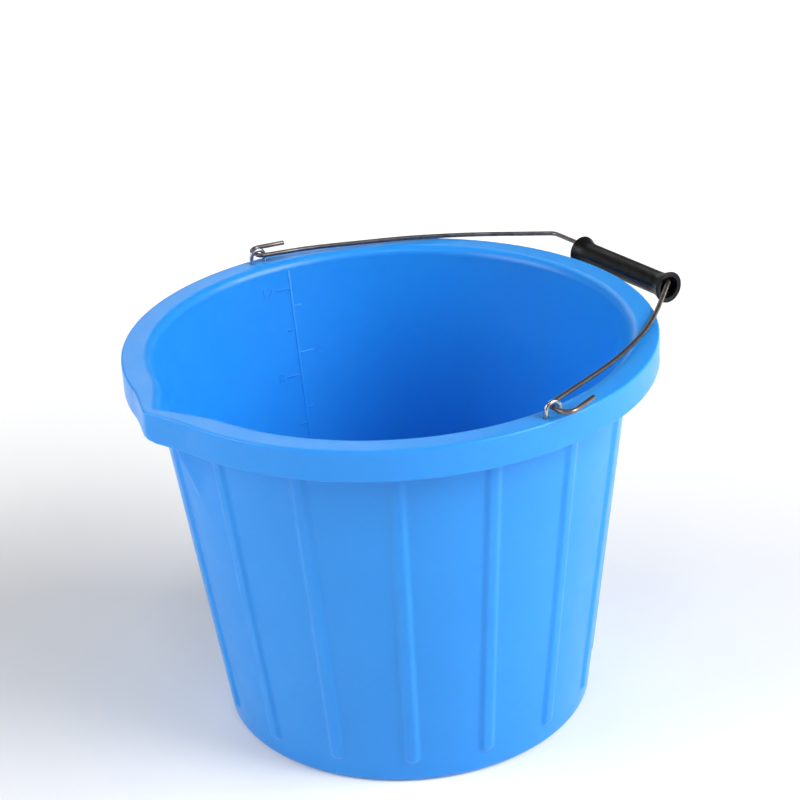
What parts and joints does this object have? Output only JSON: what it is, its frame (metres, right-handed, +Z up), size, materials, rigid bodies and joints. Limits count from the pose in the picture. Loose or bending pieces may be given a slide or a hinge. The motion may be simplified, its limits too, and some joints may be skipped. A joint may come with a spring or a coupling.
{
  "type": "feed bucket",
  "caption": "Ribbed tapered plastic feed bucket with a turned-down rim, a pouring lip, a swinging wire bail hooked in two wire eyes and a turning hand grip.",
  "frame": {"origin": "middle of the base's underside, where the bucket stands", "axes": "+Z up out of the mouth, -Y towards the pouring lip, +Y towards the grip as the bail lies at rest, +X and -X through the two wire eyes"},
  "size_m": [0.3464, 0.3665, 0.262],
  "materials": {
    "blue_polypropylene": "semi-gloss moulded",
    "zinc_wire": "bright zinc plated",
    "bail_steel": "drawn wire, dull plated",
    "black_polyethylene": "satin moulded"
  },
  "bodies": {
    "bucket": {"bucket_body": "blue_polypropylene", "eye_right": "zinc_wire", "eye_left": "zinc_wire"},
    "bail": {"bail_wire": "bail_steel"},
    "grip": {"hand_grip": "black_polyethylene"}
  },
  "joints": [
    {"name": "bail_swing", "type": "hinge", "parent": "bucket", "child": "bail", "pos_m": [0, 0.002, 0.2572], "axis": [1, 0, 0], "range_deg": [0, 182.5]},
    {"name": "grip_spin", "type": "hinge", "parent": "bail", "child": "grip", "pos_m": [0.0074, 0.18282, 0.24796], "axis": [1, 0, 0], "continuous": true}
  ]
}
